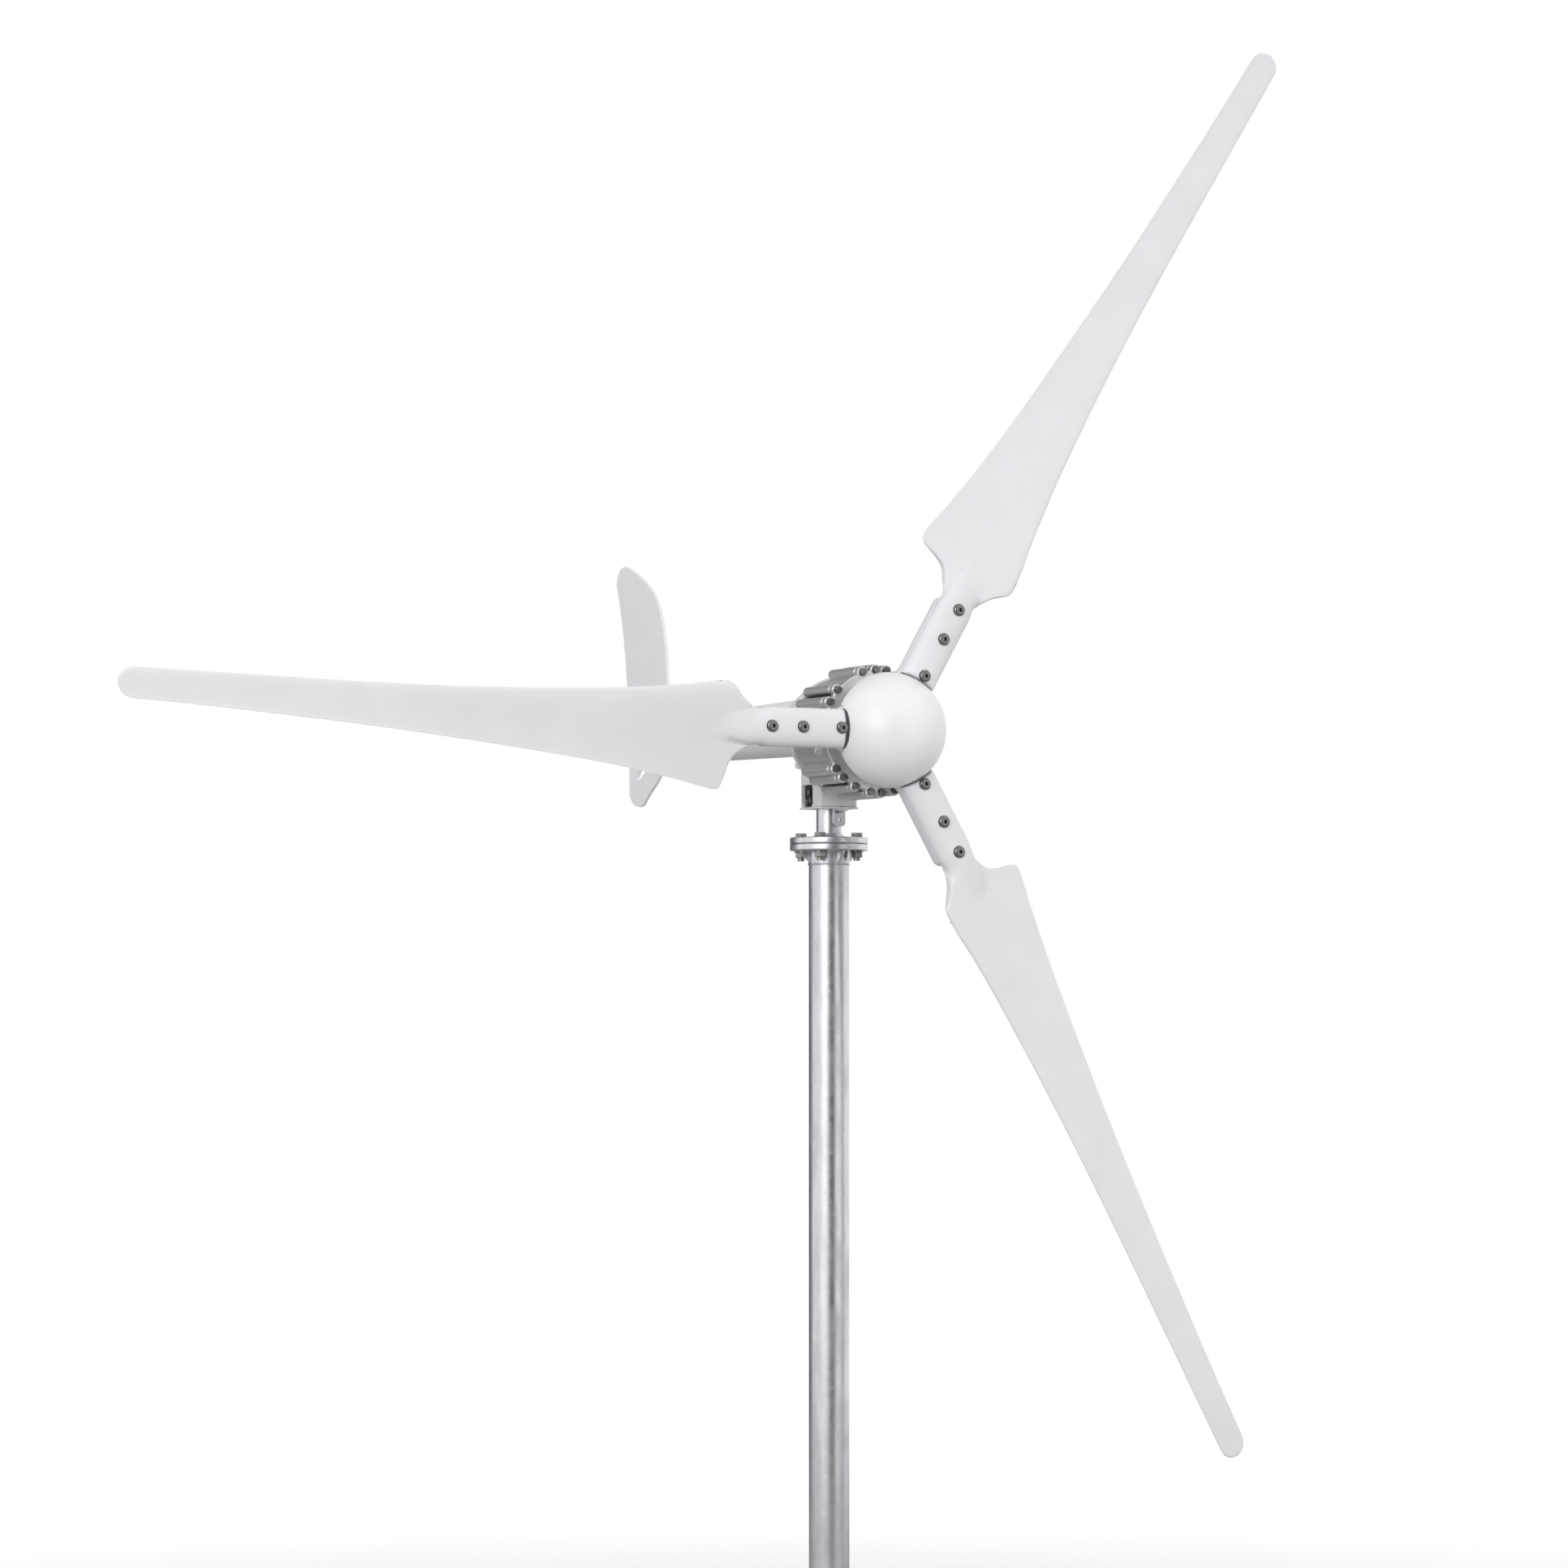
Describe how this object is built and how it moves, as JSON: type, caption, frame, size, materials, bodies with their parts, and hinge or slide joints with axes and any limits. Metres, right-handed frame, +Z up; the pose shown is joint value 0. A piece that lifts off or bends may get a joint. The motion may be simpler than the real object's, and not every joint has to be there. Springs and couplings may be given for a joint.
{
  "type": "small horizontal-axis wind turbine on a mast",
  "caption": "Small upwind wind turbine: bladed rotor with round spinner, ribbed generator, yawing nacelle and tail fin on a flanged tubular mast.",
  "frame": {"origin": "centre of the mast's lower end, on the yaw axis", "axes": "+Z up along the mast and yaw axis, -Y out of the nose into the wind, +Y towards the tail, +X to the right seen from the front"},
  "size_m": [1.5043, 0.7994, 1.8963],
  "materials": {
    "galvanised": "hot-dip galvanised steel, matt spangle",
    "white_paint": "satin white paint on cast aluminium",
    "blade_white": "satin white glass-filled nylon",
    "cast_grey": "cast aluminium, fine satin",
    "stainless": "stainless fasteners",
    "steel": "machined steel",
    "bearing": "ground bearing steel",
    "copper": "copper and bronze",
    "black_plastic": "moulded black plastic",
    "seal_rubber": "nitrile rubber",
    "lamination": "varnished laminations",
    "magnet": "nickel-plated magnets"
  },
  "bodies": {
    "mast": {"mast_tube": "galvanised", "mast_flange": "galvanised", "mast_gussets": "galvanised", "yaw_flange": "galvanised", "yaw_shaft": "galvanised", "flange_bolts": "stainless", "flange_washers": "stainless", "flange_nuts": "stainless", "slip_ring_drum": "black_plastic", "slip_rings": "copper", "yaw_bearing_inner": "bearing", "yaw_nut": "steel"},
    "nacelle": {"nacelle_frame": "white_paint", "bottom_plate": "white_paint", "yaw_bearing_outer": "bearing", "terminal_block": "black_plastic", "terminal_screws": "stainless", "brushes": "black_plastic", "earth_bracket": "stainless", "bracket_screw": "stainless", "generator_barrel": "cast_grey", "front_cover": "cast_grey", "cover_screws": "stainless", "stator_core": "lamination", "stator_windings": "copper", "main_bearing_outer": "bearing", "shaft_seal": "seal_rubber", "tail_boom": "white_paint", "tail_fin": "white_paint", "fin_bolts": "stainless", "fin_nuts": "stainless"},
    "rotor": {"main_shaft": "steel", "shaft_key": "steel", "seal_sleeve": "steel", "main_bearing_inner": "bearing", "magnet_rotor": "lamination", "magnets": "magnet", "hub": "white_paint", "hub_washer": "stainless", "hub_nut": "stainless", "blade_1": "blade_white", "blade_2": "blade_white", "blade_3": "blade_white", "blade_bolts": "stainless", "blade_washers": "stainless", "blade_nuts": "stainless", "spinner": "white_paint", "spinner_screws": "stainless"}
  },
  "joints": [
    {"name": "yaw", "type": "hinge", "parent": "mast", "child": "nacelle", "pos_m": [0, 0, 0.94], "axis": [0, 0, 1], "continuous": true},
    {"name": "rotor_spin", "type": "hinge", "parent": "nacelle", "child": "rotor", "pos_m": [0, -0.174, 1.06], "axis": [0, -1, 0], "continuous": true}
  ]
}
